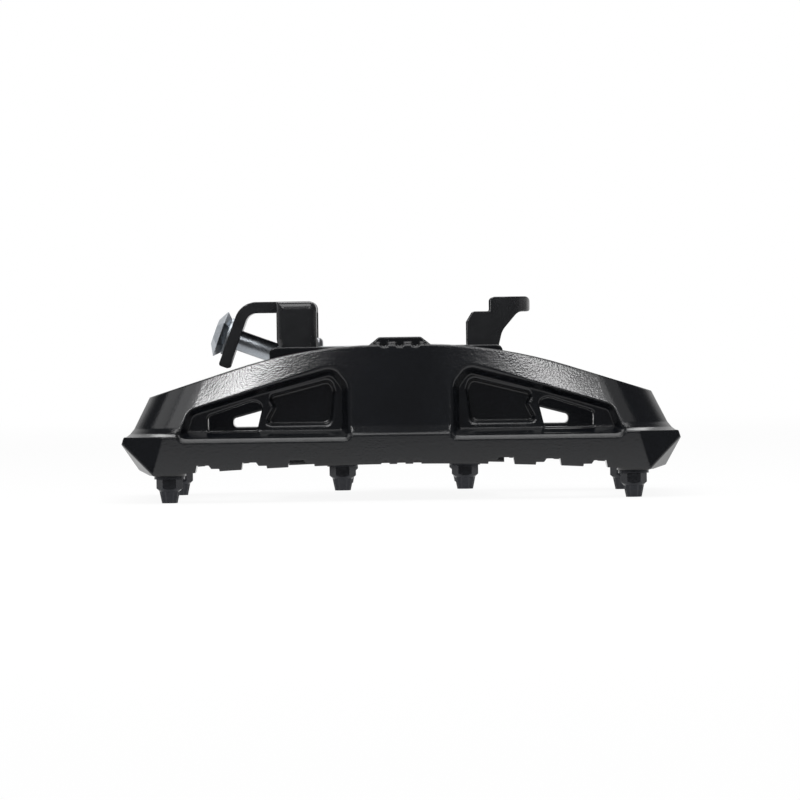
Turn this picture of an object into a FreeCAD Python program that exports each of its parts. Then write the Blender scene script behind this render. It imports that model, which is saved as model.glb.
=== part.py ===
import FreeCAD, Part
import math
import os

# A right-hand clipless platform pedal, in millimetres.
# The origin is on the spindle axis at the shoulder that seats on the crank arm.
# X points to the toe, Y along the spindle towards the crank, Z up to the clip side.

os.makedirs("parts", exist_ok=True)

# Clearances between mating pieces, on the radius or on one side
run_gap = 0.05
press_gap = 0.02
seat_gap = 0.1

# How far a cutting shape runs past the face it opens, and a fused one into its neighbour
past = 1.0

# Points closer than this are one point, and no rounded corner gets a smaller radius than the second
same_place = 1e-4
least_round = 0.1

# Platform casting, main sizes
y_out = -104.0
y_in = -10.0
y_mid = (y_out + y_in) / 2
rail_width = 13.0
rail_top = 11.1
slope_start = 18.5
crown_radius = 90.0
shoulder_x = 48.1
shoulder_z = 1.7
lip_x = 53.3
lip_z = -5.95
tip_x = 53.75
tip_z = -7.35
front_toe = (50.8, -12.6)
rear_toe = (50.4, -12.3)
sole_x = 48.2
sole_z = -13.3
sole_rise = 1.65
sole_half = 46.0
sill_draft = 0.55
lip_edge = 0.3
toe_edge = 0.4
sole_edge = 1.0

# Plan of the leaning outer walls, at four heights from the flared foot to the crown.
# Each row has the height above the lip, then (x, y) at mid length, at the start of the corner and at its end.
wall_rings = (
    (-0.1, (0.0, -103.9), (41.5, -103.3), (53.0, -94.6)),
    (0.6, (0.0, -103.6), (41.2, -102.15), (52.1, -94.0)),
    (1.6, (0.0, -103.3), (40.9, -101.35), (51.3, -93.4)),
    (19.2, (0.0, -100.5), (35.0, -96.4), (42.5, -88.8)))

# Corner facets of the sill, given by the points they pass through
facet_top_x = 45.7
facet_lip_y = -97.0
facet_foot = (47.75, -103.5, -13.1)
facet_tip_y = -96.5
facet_toe_y = -96.0

# Openings through the platform
bay_outer = 42.5
bay_corner = 4.0
tube_half = 12.5
pocket_corner = 2.0
window_base_y = -103.07
window_yaw = 0.062
window_lean = 0.174
window_mid_x = 26.0
ledge_share = 0.5
panel_share = 0.15
window_rim = ((42.4, -6.1, 0.8), (40.6, -1.0, 2.4), (27.3, 2.9, 30.0),
              (12.9, 6.7, 2.4), (10.3, 3.4, 3.4), (10.3, -6.1, 0.8))
window_reach = 4.0
window_overlap = 0.3
rim_round = 0.9
ledge_inset = 1.0
ledge_depth = 2.8
window_panel = ((25.4, 1.6, 0.8), (24.2, -0.4, 0.9), (26.1, -3.9, 0.8),
                (13.4, -3.9, 1.5), (12.6, 2.4, 1.2), (13.4, 4.6, 1.3))
panel_round = 0.6
panel_depth = 2.0
panel_draft = 0.3
window_hole = ((26.3, 0.4, 1.4), (27.6, -5.0, 0.5), (37.0, -5.0, 0.5),
               (37.0, -2.2, 0.8), (28.6, 0.6, 2.0))
hole_round = 0.5
far_window_inner = 26.5
far_window_outer = 33.65
far_window_foot = -5.1
far_window_top = -1.5
far_window_low_top = -3.4
far_window_corner = 0.8

# Grip teeth under the rails and grip grooves at mid length
notch_depth = 1.3
notch_flats = ((36.9, 39.2), (27.8, 30.4), (18.7, 21.5))
notch_step = 1.5
notch_lean = 0.5
groove_radius = 0.8
groove_pitch = 3.05
groove_flat = 0.016
pad_base_half = 6.0
pad_top_half = 4.1
pad_top = 12.6
pad_start_y = -97.6
pad_length = 6.6
pad_flare = 0.5
pad_edge = 0.3
tooth_half = 5.0
tooth_top = 11.6
tooth_start_y = -100.3
tooth_draft = 0.4
tooth_groove_floor = 10.7

# Mechanism block in the casting
block_rear = -25.35
block_front = 20.0
cheek_gap = 0.3
cheek_thick = 4.0
block_top = 10.9
block_edge = 1.2
cavity_front = -14.8
cavity_floor = -2.0
cavity_corner = 1.5

# Traction pins
pin_rows = (-96.0, -18.0)
pin_corner_x = 44.6
pin_front_mid_x = 12.2
pin_rear_mid_x = 11.3
pin_corner_seat = -13.5
pin_mid_seat = -11.5
pin_boss_radius = 3.2
pin_boss_root = 3.0
pin_shank_radius = 2.0
pin_shank_length = 5.5
pin_hole_spare = 0.5
pin_washer_radius = 2.95
pin_washer_thick = 0.6
pin_hex_flats = 4.4
pin_hex_height = 2.4
pin_hex_chamfer = 0.7
pin_ribs = 10
pin_rib_root = 0.86
pin_root_radius = 2.1
pin_tip_radius = 1.5
pin_tip_height = 2.2

# Axle cartridge
thread_radius = 7.144
thread_length = 13.5
thread_chamfer = 1.0
hex_key = 8.0
hex_depth = 8.0
collar_radius = 9.5
collar_width = 2.5
flats_across = 15.0
flats_width = 5.0
flats_radius = 9.0
journal_radius = 6.0
journal_end = -38.0
waist_radius = 5.0
waist_start = -70.0
bearing_radius = 4.0
bearing_outer_radius = 8.0
bearing_width = 5.0
bearing_inner_face = -84.0
ball_radius = 1.19
ball_pitch_radius = 6.0
ball_count = 8
race_gap = 0.03
inner_ring_land = 5.3
outer_ring_land = 6.7
shield_thick = 0.3
cage_half_width = 1.5
cage_inner = 5.6
cage_outer = 6.4
stud_radius = 3.0
spindle_end = -95.5
nut_flats = 10.0
nut_end = -94.8
axle_washer_radius = 5.2
axle_washer_thick = 1.0
nut_well_radius = 6.4
nut_well_end = -97.0
mouth_radius = 8.8
mouth_depth = 12.0
axle_boss_radius = 10.6
axle_boss_length = 8.0
sleeve_inner = 7.2
sleeve_flange_radius = 10.2
sleeve_flange_thick = 1.8
sleeve_notch_width = 2.4
sleeve_notch_depth = 1.6
sleeve_notches = 6
bush_end = -21.5
seal_inner_face = -11.0
seal_outer_face = -8.4
seal_lip_width = 0.7
seal_lip_rise = 0.5
tube_inner = 7.0

# Front claw
claw_thick = 2.3
front_half = 17.3
front_rear_x = 13.2
front_lug_z = 15.4
front_lug_x = 14.4
front_neck_x = 17.8
front_arm_x = 20.0
front_arm_z = 13.6
front_bar_x = 23.2
front_bow_x = 25.5
front_bow_radius = 6.0
front_base_rear = 5.0
front_base_front = 18.8
front_base_under = 8.6
front_step_z = 17.4
front_top_z = 20.2
front_bar_under = 17.3
front_screw_x = 14.5
front_screw_y = 9.5
front_lug_round = 0.6
front_notch_round = 0.5
front_top_round = 0.8
front_nose_round = 1.0
front_bar_edge = 0.5
front_bar_blend = 2.0
front_arm_blend = 4.0
front_base_corner = 3.0
front_base_edge = 1.0

# Landing plate between the claws
plate_rear = -17.6
plate_front = 4.6
plate_side_gap = 0.9
plate_top = 11.0
plate_thick = 1.2
plate_corner = 2.0
plate_screw_x = -11.0
plate_screw_y = 10.0

# Rear claw, its pivot and its springs
sheet = 2.2
pivot_x = -19.5
pivot_z = 3.0
pivot_radius = 2.0
boss_radius = 3.8
ear_half = 16.1
ear_rear = -24.0
ear_front = -16.1
ear_rear_foot = 12.4
ear_waist = 8.0
ear_front_foot = 11.0
ear_foot_round = 2.0
ear_waist_round = 3.0
ear_fold_round = 1.7
claw_top = 19.85
hook_half = 8.0
lip_notch_radius = 15.0
lip_notch_depth = 2.4
lip_notch_half = 8.5
lip_round = 1.6
flange_lean = 20.3
flange_end_drop = 5.9
flange_edge = 0.5
bend_radius = 4.4
pin_overhang = 1.7
clip_thick = 0.6
clip_radius = 3.6
clip_groove_radius = 1.5
clip_slot = 2.4
wire_radius = 0.9
coil_radius = 3.5
coil_inner_y = 4.1
coil_outer_y = 8.8
coil_turns = 2.5
fixed_leg_top = 12.7
moving_leg_top = 11.4

# Tension bolt and its cross nut
bolt_head_x = -35.2
bolt_head_z = 13.7
bolt_radius = 2.0
head_radius = 4.65
head_face_radius = 2.45
head_under_radius = 3.45
head_thick = 2.4
head_widest = 1.2
bolt_washer_radius = 3.7
bolt_washer_thick = 0.5
bolt_length = 17.0
nut_x = -20.85
nut_half_width = 3.0
nut_half_height = 2.8
nut_half_length = 1.3
nut_relief = 1.0
arm_reach = 9.6
arm_low = 0.2

# Countersunk screws
m4_radius = 2.0
m4_head_radius = 3.6
m4_length = 9.0
m3_radius = 1.5
m3_head_radius = 2.4
m3_length = 6.0
drive_share = 0.55
drive_depth = 0.8

# Sizes that follow from the ones above
cheek_inner = ear_half + cheek_gap
block_half = cheek_inner + cheek_thick
plate_half = ear_half - sheet - plate_side_gap
sole_radius = (sole_half ** 2 + sole_rise ** 2) / (2 * sole_rise)
bearing_outer_face = bearing_inner_face - bearing_width
bearing_centre = bearing_inner_face - bearing_width / 2


def vec(x, y, z):
    return FreeCAD.Vector(x, y, z)


def outline(corners, place):
    """Closed wire through (u, v, r) corners, each rounded by r; place maps (u, v) into space."""
    flat = [FreeCAD.Vector(u, v, 0) for u, v, r in corners]
    arcs = []
    for i, (u, v, r) in enumerate(corners):
        here = flat[i]
        back = (flat[i - 1] - here).normalize()
        ahead = (flat[(i + 1) % len(flat)] - here).normalize()
        half = back.getAngle(ahead) / 2
        if r == 0:
            arcs.append((here, None, here))
            continue
        reach = r / math.tan(half)
        middle = here + (back + ahead).normalize() * (r / math.sin(half) - r)
        arcs.append((here + back * reach, middle, here + ahead * reach))
    edges = []
    for i, (start, middle, end) in enumerate(arcs):
        if middle is not None:
            edges.append(Part.Arc(place(start), place(middle), place(end)).toShape())
        after = arcs[(i + 1) % len(arcs)][0]
        if (after - end).Length > same_place:
            edges.append(Part.LineSegment(place(end), place(after)).toShape())
    return Part.Wire(edges)


def side_prism(corners, y0, y1):
    """Prism along Y from an outline in the XZ plane."""
    wire = outline(corners, lambda p: vec(p.x, y0, p.y))
    return Part.Face(wire).extrude(vec(0, y1 - y0, 0))


def plan_prism(corners, z0, z1):
    """Prism along Z from an outline in the XY plane."""
    wire = outline(corners, lambda p: vec(p.x, p.y, z0))
    return Part.Face(wire).extrude(vec(0, 0, z1 - z0))


def block(x0, x1, y0, y1, z0, z1):
    return Part.makeBox(x1 - x0, y1 - y0, z1 - z0, vec(x0, y0, z0))


def turned(profile, x=0.0, z=0.0):
    """Solid of revolution about the line along Y through (x, z), from (y, r) corners."""
    points = [vec(x + r, y, z) for y, r in profile]
    face = Part.Face(Part.makePolygon(points + points[:1]))
    return face.revolve(vec(x, 0, z), vec(0, 1, 0), 360)


def ring(inner, outer, y0, y1, x=0.0, z=0.0):
    return turned(((y0, inner), (y0, outer), (y1, outer), (y1, inner)), x, z)


def rod(radius, start, end):
    return Part.makeCylinder(radius, (end - start).Length, start, end - start)


def hexagon(flats, z):
    """Closed hexagon wire across the given flats, at height z, centred on the Z axis."""
    radius = flats / math.sqrt(3)
    angles = [math.radians(60 * i) for i in range(7)]
    return Part.makePolygon([vec(radius * math.cos(a), radius * math.sin(a), z) for a in angles])


def placed(shape, base, direction):
    """Shape with its Z axis turned to a direction and its origin moved to a base point."""
    copy = shape.copy()
    copy.Placement = FreeCAD.Placement(base, FreeCAD.Rotation(vec(0, 0, 1), direction))
    return copy


def mirrored_x(shape):
    return shape.mirror(vec(0, 0, 0), vec(1, 0, 0))


def mirrored_y(shape):
    return shape.mirror(vec(0, y_mid, 0), vec(0, 1, 0))


def all_quarters(shape):
    pair = [shape, mirrored_x(shape)]
    return pair + [mirrored_y(s) for s in pair]


def beyond(p1, p2, p3, inside):
    """Large block on the side of a plane away from a point inside."""
    size = 3 * (y_in - y_out)
    normal = (p2 - p1).cross(p3 - p1).normalize()
    if normal.dot(inside - p1) > 0:
        normal = normal * -1
    return placed(Part.makeBox(size, size, size, vec(-size / 2, -size / 2, 0)), p1, normal)


def sole_z_at(x):
    return sole_z + sole_rise - sole_radius + math.sqrt(sole_radius ** 2 - x ** 2)


def screw_hole(radius, head_radius, x, y, top, length):
    """Countersunk screw shape, used for the screw and, enlarged, for its hole."""
    taper = head_radius - radius
    cone = Part.makeCone(head_radius, radius, taper, vec(x, y, top), vec(0, 0, -1))
    return cone.fuse(Part.makeCylinder(radius, length, vec(x, y, top), vec(0, 0, -1)))


def countersunk_screw(radius, head_radius, x, y, top, length):
    screw = screw_hole(radius, head_radius, x, y, top, length)
    socket = hexagon(2 * radius * drive_share, top - drive_depth)
    drive = Part.Face(socket).extrude(vec(0, 0, drive_depth + past))
    drive.translate(vec(x, y, 0))
    return screw.cut(drive).removeSplitter()


def plan_ring(rise, mid, side, end):
    """Plan outline of the upper walls: bowed long sides, corners tangent to them, straight ends."""
    z = lip_z + rise
    far = 2 * y_mid
    bow = 2 * math.atan2(side[1] - mid[1], side[0])
    run_x = end[0] - side[0]
    run_y = end[1] - side[1]
    bulge = math.tan((math.atan2(run_y, run_x) - bow) / 2) / 2
    corner = (side[0] + run_x / 2 + bulge * run_y, side[1] + run_y / 2 - bulge * run_x)

    def at(point, x_sign, y_far):
        x, y = point
        return vec(x_sign * x, far - y if y_far else y, z)

    edges = [Part.Arc(at(side, -1, False), at(mid, 1, False), at(side, 1, False)),
             Part.Arc(at(side, 1, False), at(corner, 1, False), at(end, 1, False)),
             Part.LineSegment(at(end, 1, False), at(end, 1, True)),
             Part.Arc(at(end, 1, True), at(corner, 1, True), at(side, 1, True)),
             Part.Arc(at(side, 1, True), at(mid, 1, True), at(side, -1, True)),
             Part.Arc(at(side, -1, True), at(corner, -1, True), at(end, -1, True)),
             Part.LineSegment(at(end, -1, True), at(end, -1, False)),
             Part.Arc(at(end, -1, False), at(corner, -1, False), at(side, -1, False))]
    return Part.Wire([edge.toShape() for edge in edges])


def upper_walls():
    """Leaning walls with a flared foot, cut to the arched side view."""
    rings = [plan_ring(*row) for row in wall_rings]
    walls = Part.makeLoft(rings, True, True)
    slope = (rail_top - shoulder_z) / (shoulder_x - slope_start)
    edge_z = rail_top - slope * (tip_x - slope_start)
    low_z = lip_z - past
    right = [(slope_start, rail_top, crown_radius), (tip_x, edge_z, 0), (tip_x, low_z, 0)]
    left = [(-x, z, r) for x, z, r in reversed(right)]
    return walls.common(side_prism(right + left, y_out - past, y_in + past))


def corner_cuts(toe):
    """Blocks that cut the two facets of the outboard toe corner of the sill."""
    centre = vec(0, y_mid, tip_z)
    foot = vec(*facet_foot)
    upper = beyond(vec(facet_top_x, y_out, lip_z), vec(lip_x, facet_lip_y, lip_z), foot, centre)
    lower = beyond(vec(tip_x, facet_tip_y, tip_z), foot, vec(toe[0], facet_toe_y, toe[1]), centre)
    return [upper, lower]


def sill():
    """Lower flange with drafted sides and four faceted corners."""
    right = [(lip_x, lip_z, lip_edge), (tip_x, tip_z, lip_edge),
             (*front_toe, toe_edge), (sole_x, sole_z, sole_edge)]
    left = [(-sole_x, sole_z, sole_edge), (-rear_toe[0], rear_toe[1], toe_edge),
            (-tip_x, tip_z, lip_edge), (-lip_x, lip_z, lip_edge)]
    flange = side_prism(right + left, y_out, y_in)
    draft_foot = vec(0, y_out + sill_draft, sole_z)
    draft = beyond(vec(0, y_out, lip_z), vec(lip_x, y_out, lip_z), draft_foot, vec(0, y_mid, tip_z))
    cuts = [draft] + corner_cuts(front_toe) + [mirrored_x(cut) for cut in corner_cuts(rear_toe)]
    return flange.cut(cuts + [mirrored_y(cut) for cut in cuts])


def mechanism_block():
    corners = [(block_rear, block_top, block_edge), (block_front, block_top, block_edge),
               (block_front, sole_z, 0), (block_rear, sole_z, 0)]
    return side_prism(corners, y_mid - block_half, y_mid + block_half)


def rail_pad():
    """Raised grip pad on the outboard rail at mid length, with a lower row of teeth before it."""
    low = rail_top - past
    pad_foot = pad_base_half + pad_flare
    corners = [(-pad_foot, low, 0), (-pad_base_half, rail_top, 0), (-pad_top_half, pad_top, pad_edge),
               (pad_top_half, pad_top, pad_edge), (pad_base_half, rail_top, 0), (pad_foot, low, 0)]
    pad = side_prism(corners, pad_start_y, pad_start_y + pad_length)
    crest_half = tooth_half - tooth_draft
    corners = [(-tooth_half, low, 0), (-crest_half, tooth_top, 0),
               (crest_half, tooth_top, 0), (tooth_half, low, 0)]
    return pad.fuse(side_prism(corners, tooth_start_y, pad_start_y + past))


def bays():
    """Through openings ahead of and behind the mechanism, with pockets beside it."""
    y0 = y_out + rail_width
    y1 = y_in - rail_width
    cuts = []
    for side, inner in ((-1, -block_rear), (1, block_front)):
        corners = [(side * inner, y0, 0), (side * bay_outer, y0, bay_corner),
                   (side * bay_outer, y1, bay_corner), (side * inner, y1, 0)]
        cuts.append(plan_prism(corners, sole_z - past, pad_top + past))
        for low, high in ((y0, y_mid - block_half), (y_mid + block_half, y1)):
            corners = [(side * tube_half, low, pocket_corner), (side * tube_half, high, pocket_corner),
                       (side * (inner + past), high, 0), (side * (inner + past), low, 0)]
            cuts.append(plan_prism(corners, sole_z - past, pad_top + past))
    return cuts


def grown(corners, size):
    """Outline with every side moved out by a size and every corner radius to match."""
    count = len(corners)
    area = sum(corners[i - 1][0] * corners[i][1] - corners[i][0] * corners[i - 1][1] for i in range(count))
    turn = 1 if area > 0 else -1
    flat = [vec(u, v, 0) for u, v, r in corners]
    result = []
    for i, (u, v, r) in enumerate(corners):
        back = (flat[i] - flat[i - 1]).normalize()
        ahead = (flat[(i + 1) % count] - flat[i]).normalize()
        n1 = vec(back.y * turn, -back.x * turn, 0)
        n2 = vec(ahead.y * turn, -ahead.x * turn, 0)
        shift = (n1 + n2) * (size / (1 + n1.dot(n2)))
        bulges = (back.x * ahead.y - back.y * ahead.x) * turn > 0
        result.append((u + shift.x, v + shift.y, max(r + size if bulges else r - size, least_round)))
    return result


def wall_pocket(corners, steps):
    """Pocket in the outboard wall through outlines on planes, one for each step (growth, depth, share).

    A plane with a share of 1 follows the leaning wall, and one with a share of 0 stands upright.
    """
    wires = []
    for growth, depth, share in steps:
        middle = window_base_y + window_yaw * window_mid_x + depth

        def on_plane(p):
            return vec(p.x, middle + share * (window_yaw * (p.x - window_mid_x) + window_lean * p.y), p.y)

        wires.append(outline(grown(corners, growth), on_plane))
    return Part.makeLoft(wires, True, True)


def rounded_mouth(size, start, share):
    """Steps of a pocket mouth at a start depth that is rounded by a size."""
    angles = [math.radians(a) for a in (0, 25, 50, 75)]
    curve = [(size * (1 - math.sin(a)), start + size * (1 - math.cos(a)), share) for a in angles]
    return curve + [(0, start + size, share)]


def outboard_window():
    """Window of the toe side: a rounded recess, a deeper panel in it and a hole into the bay."""
    recess = wall_pocket(window_rim, [(rim_round, -window_reach, 1)] + rounded_mouth(rim_round, 0, 1)
                         + [(-ledge_inset, ledge_depth, ledge_share)])
    start = ledge_depth - window_overlap
    panel = wall_pocket(window_panel, [(panel_round, start, ledge_share)]
                        + rounded_mouth(panel_round, ledge_depth, ledge_share)
                        + [(-panel_draft, ledge_depth + panel_depth, panel_share)])
    hole = wall_pocket(window_hole, [(hole_round, start, ledge_share)]
                       + rounded_mouth(hole_round, ledge_depth, ledge_share)
                       + [(0, rail_width + 2 * past, ledge_share)])
    return recess.fuse([panel, hole])


def inboard_window():
    places = [(far_window_inner, far_window_foot), (far_window_outer, far_window_foot),
              (far_window_outer, far_window_low_top), (far_window_inner, far_window_top)]
    corners = [(x, z, far_window_corner) for x, z in places]
    return side_prism(corners, y_in - rail_width - past, y_in + past)


def rail_notch(flat):
    """Stepped notch between two grip teeth, under the outboard rail on the toe side."""
    inner, outer = flat
    low = sole_z - past
    deep = sole_z_at((inner + outer) / 2) + notch_depth
    half = deep - notch_depth / 2
    step = inner - notch_step
    corners = [(step - 2 * notch_lean, low, 0), (step - notch_lean, half, 0), (inner - notch_lean, half, 0),
               (inner, deep, 0), (outer, deep, 0), (outer + notch_lean, low, 0)]
    return side_prism(corners, y_out - past, y_out + rail_width + past)


def grooves():
    """Three round grip grooves between the teeth on top and across the sole of the outboard rail."""
    start = y_out - past
    end = y_out + rail_width + past
    floor_round = groove_radius - groove_flat
    cuts = []
    for i in (-1, 0, 1):
        x = i * groove_pitch
        left = x - groove_radius
        right = x + groove_radius
        cuts.append(rod(groove_radius, vec(x, start, sole_z_at(x)), vec(x, end, sole_z_at(x))))
        corners = [(left, tooth_groove_floor, floor_round), (right, tooth_groove_floor, floor_round),
                   (right, pad_top + past, 0), (left, pad_top + past, 0)]
        cuts.append(side_prism(corners, start, pad_start_y))
    return cuts


def pin_places():
    """Position and seat height of every traction pin."""
    places = []
    for y in pin_rows:
        for x in (-pin_corner_x, pin_corner_x):
            places.append((x, y, pin_corner_seat))
        for x in (-pin_rear_mid_x, pin_front_mid_x):
            places.append((x, y, pin_mid_seat))
    return places


def axle_bore():
    mouth_floor = y_in - mouth_depth
    return turned(((nut_well_end, 0), (nut_well_end, nut_well_radius), (bearing_outer_face, nut_well_radius),
                   (bearing_outer_face, bearing_outer_radius), (mouth_floor, bearing_outer_radius),
                   (mouth_floor, mouth_radius), (y_in + past, mouth_radius), (y_in + past, 0)))


def mechanism_cuts():
    """Claw cavity, seats for the plate and the front claw, pivot and screw holes."""
    top = block_top + past
    rear = block_rear - past
    cavity = side_prism([(cavity_front, cavity_floor, cavity_corner), (cavity_front, top, 0), (rear, top, 0),
                         (rear, cavity_floor, 0)], y_mid - cheek_inner, y_mid + cheek_inner)
    plate_reach = plate_half + seat_gap
    plate_seat = block(cavity_front - past, front_base_rear, y_mid - plate_reach, y_mid + plate_reach,
                       plate_top - plate_thick, top)
    claw_reach = front_half + seat_gap
    claw_seat = block(front_base_rear - seat_gap, block_front + past, y_mid - claw_reach, y_mid + claw_reach,
                      front_base_under, top)
    pivot_reach = block_half + past
    pivot = rod(pivot_radius + press_gap, vec(pivot_x, y_mid - pivot_reach, pivot_z),
                vec(pivot_x, y_mid + pivot_reach, pivot_z))
    holes = [cavity, plate_seat, claw_seat, pivot]
    down = vec(0, 0, -1)
    m4_depth = top - block_top + m4_length + past
    m3_depth = top - plate_top + m3_length + past
    for side in (-1, 1):
        front = vec(front_screw_x, y_mid + side * front_screw_y, top)
        holes.append(Part.makeCylinder(m4_radius + press_gap, m4_depth, front, down))
        rear = vec(plate_screw_x, y_mid + side * plate_screw_y, top)
        holes.append(Part.makeCylinder(m3_radius + press_gap, m3_depth, rear, down))
    return holes


def pedal_body():
    body = upper_walls().fuse(sill())
    arch_z = sole_z + sole_rise - sole_radius
    arch = rod(sole_radius, vec(0, y_out - past, arch_z), vec(0, y_in + past, arch_z))
    body = body.cut(bays())
    axle_boss = rod(axle_boss_radius, vec(0, y_in - axle_boss_length, 0), vec(0, y_in, 0))
    body = body.fuse([mechanism_block(), rail_pad(), mirrored_y(rail_pad()), axle_boss])
    body = body.cut(arch)
    cuts = all_quarters(outboard_window())[:2]
    cuts += [inboard_window(), mirrored_x(inboard_window())]
    for flat in notch_flats:
        cuts += all_quarters(rail_notch(flat))
    for groove in grooves():
        cuts += [groove, mirrored_y(groove)]
    body = body.cut(cuts)
    seats = [vec(*place) for place in pin_places()]
    body = body.fuse([Part.makeCylinder(pin_boss_radius, pin_boss_root, seat) for seat in seats])
    spot_depth = sole_rise + past
    holes = [Part.makeCylinder(pin_boss_radius, spot_depth, seat, vec(0, 0, -1)) for seat in seats]
    hole_depth = pin_shank_length + pin_hole_spare
    holes += [Part.makeCylinder(pin_shank_radius + press_gap, hole_depth, seat) for seat in seats]
    body = body.cut(holes + mechanism_cuts() + [axle_bore()])
    return body.removeSplitter()


def rib_ring(radius, z):
    """Ribbed outline of a pin's grip end at height z."""
    points = []
    for i in range(2 * pin_ribs + 1):
        r = radius if i % 2 == 0 else radius * pin_rib_root
        angle = math.pi * i / pin_ribs
        points.append(vec(r * math.cos(angle), r * math.sin(angle), z))
    return Part.makePolygon(points)


def traction_pin(seat):
    """Hexagonal pin with a chamfered head, a ribbed tapered grip end and a screwed shank."""
    under = seat - pin_washer_thick
    foot = under - pin_hex_height
    head = Part.Face(hexagon(pin_hex_flats, foot)).extrude(vec(0, 0, pin_hex_height))
    corner = pin_hex_flats / math.sqrt(3)
    outer = corner + pin_hex_chamfer
    rise = 2 * pin_hex_chamfer
    chamfer = Part.makeCone(corner - pin_hex_chamfer, outer, rise, vec(0, 0, foot))
    head = head.common(chamfer.fuse(Part.makeCylinder(outer, pin_hex_height, vec(0, 0, foot + rise))))
    grip = Part.makeLoft([rib_ring(pin_root_radius, foot + pin_hex_chamfer),
                          rib_ring(pin_tip_radius, foot - pin_tip_height)], True, True)
    shank = Part.makeCylinder(pin_shank_radius, pin_washer_thick + pin_shank_length, vec(0, 0, under))
    return head.fuse([grip, shank]).removeSplitter()


def traction_pins():
    made = {seat: traction_pin(seat) for seat in (pin_corner_seat, pin_mid_seat)}
    pins = []
    for x, y, seat in pin_places():
        pin = made[seat].copy()
        pin.translate(vec(x, y, 0))
        pins.append(pin)
    return Part.makeCompound(pins)


def pin_washers():
    washers = []
    for x, y, seat in pin_places():
        disc = Part.makeCylinder(pin_washer_radius, pin_washer_thick, vec(x, y, seat), vec(0, 0, -1))
        hole = Part.makeCylinder(pin_shank_radius + press_gap, 3 * pin_washer_thick,
                                 vec(x, y, seat + pin_washer_thick), vec(0, 0, -1))
        washers.append(disc.cut(hole))
    return Part.makeCompound(washers)


def spindle():
    """Axle with crank thread, wrench flats, tapered core and stud for the bearing nut."""
    flats_end = -collar_width - flats_width
    profile = ((thread_length, 0), (thread_length, thread_radius - thread_chamfer),
               (thread_length - thread_chamfer, thread_radius), (0, thread_radius), (0, collar_radius),
               (-collar_width, collar_radius), (-collar_width, flats_radius), (flats_end, flats_radius),
               (flats_end, journal_radius), (journal_end, journal_radius), (waist_start, waist_radius),
               (bearing_inner_face, waist_radius), (bearing_inner_face, bearing_radius),
               (bearing_outer_face, bearing_radius), (bearing_outer_face, stud_radius),
               (spindle_end, stud_radius), (spindle_end, 0))
    axle = turned(profile)
    flat = block(flats_across / 2, collar_radius, flats_end, -collar_width, -collar_radius, collar_radius)
    axle = axle.cut([flat, mirrored_x(flat)])
    key = Part.Face(hexagon(hex_key, 0)).extrude(vec(0, 0, hex_depth + past))
    return axle.cut(placed(key, vec(0, thread_length - hex_depth, 0), vec(0, 1, 0)))


def lock_sleeve():
    """Screwed sleeve that closes the axle cartridge, with tool notches in its flange."""
    flange_face = y_in + sleeve_flange_thick
    sleeve = turned(((y_in - mouth_depth, sleeve_inner), (y_in - mouth_depth, mouth_radius - press_gap),
                     (y_in, mouth_radius - press_gap), (y_in, sleeve_flange_radius),
                     (flange_face, sleeve_flange_radius), (flange_face, sleeve_inner)))
    notch = block(sleeve_flange_radius - sleeve_notch_depth, sleeve_flange_radius + past, y_in,
                  flange_face + past, -sleeve_notch_width / 2, sleeve_notch_width / 2)
    notches = []
    for i in range(sleeve_notches):
        turn = notch.copy()
        turn.rotate(vec(0, 0, 0), vec(0, 1, 0), 360 * i / sleeve_notches)
        notches.append(turn)
    return sleeve.cut(notches)


def bush():
    return ring(journal_radius + run_gap, sleeve_inner - press_gap, bush_end, seal_inner_face)


def dust_seal():
    """Rubber ring with a lip that wipes the journal."""
    lip = journal_radius + run_gap
    outer = sleeve_inner - press_gap
    return turned(((seal_inner_face, lip + seal_lip_rise), (seal_inner_face, outer), (seal_outer_face, outer),
                   (seal_outer_face, lip), (seal_outer_face - seal_lip_width, lip)))


def spacer_tube():
    return ring(tube_inner, bearing_outer_radius - press_gap, bearing_inner_face, y_in - mouth_depth)


race = Part.makeTorus(ball_pitch_radius, ball_radius + race_gap, vec(0, bearing_centre, 0), vec(0, 1, 0))


def bearing_inner_ring():
    bore = bearing_radius + press_gap
    return ring(bore, inner_ring_land, bearing_outer_face, bearing_inner_face).cut(race)


def bearing_outer_ring():
    outer = bearing_outer_radius - press_gap
    return ring(outer_ring_land, outer, bearing_outer_face, bearing_inner_face).cut(race)


def ball_centres():
    r = ball_pitch_radius
    angles = [2 * math.pi * i / ball_count for i in range(ball_count)]
    return [vec(r * math.cos(a), bearing_centre, r * math.sin(a)) for a in angles]


def bearing_balls():
    return Part.makeCompound([Part.makeSphere(ball_radius, c) for c in ball_centres()])


def bearing_cage():
    """Ring with one drilled pocket for each ball."""
    cage = ring(cage_inner, cage_outer, bearing_centre - cage_half_width, bearing_centre + cage_half_width)
    hub = vec(0, bearing_centre, 0)
    return cage.cut([rod(ball_radius + run_gap, hub, hub + (c - hub) * 2) for c in ball_centres()])


def bearing_shields():
    inner = inner_ring_land + 2 * run_gap
    outer = outer_ring_land - press_gap
    faces = (bearing_outer_face, bearing_inner_face - shield_thick)
    return Part.makeCompound([ring(inner, outer, face, face + shield_thick) for face in faces])


def spindle_washer():
    face = bearing_outer_face
    return ring(stud_radius + press_gap, axle_washer_radius, face - axle_washer_thick, face)


def spindle_nut():
    face = bearing_outer_face - axle_washer_thick
    nut = Part.Face(hexagon(nut_flats, 0)).extrude(vec(0, 0, face - nut_end))
    nut = placed(nut, vec(0, nut_end, 0), vec(0, 1, 0))
    return nut.cut(rod(stud_radius + press_gap, vec(0, nut_end - past, 0), vec(0, face + past, 0)))


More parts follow.
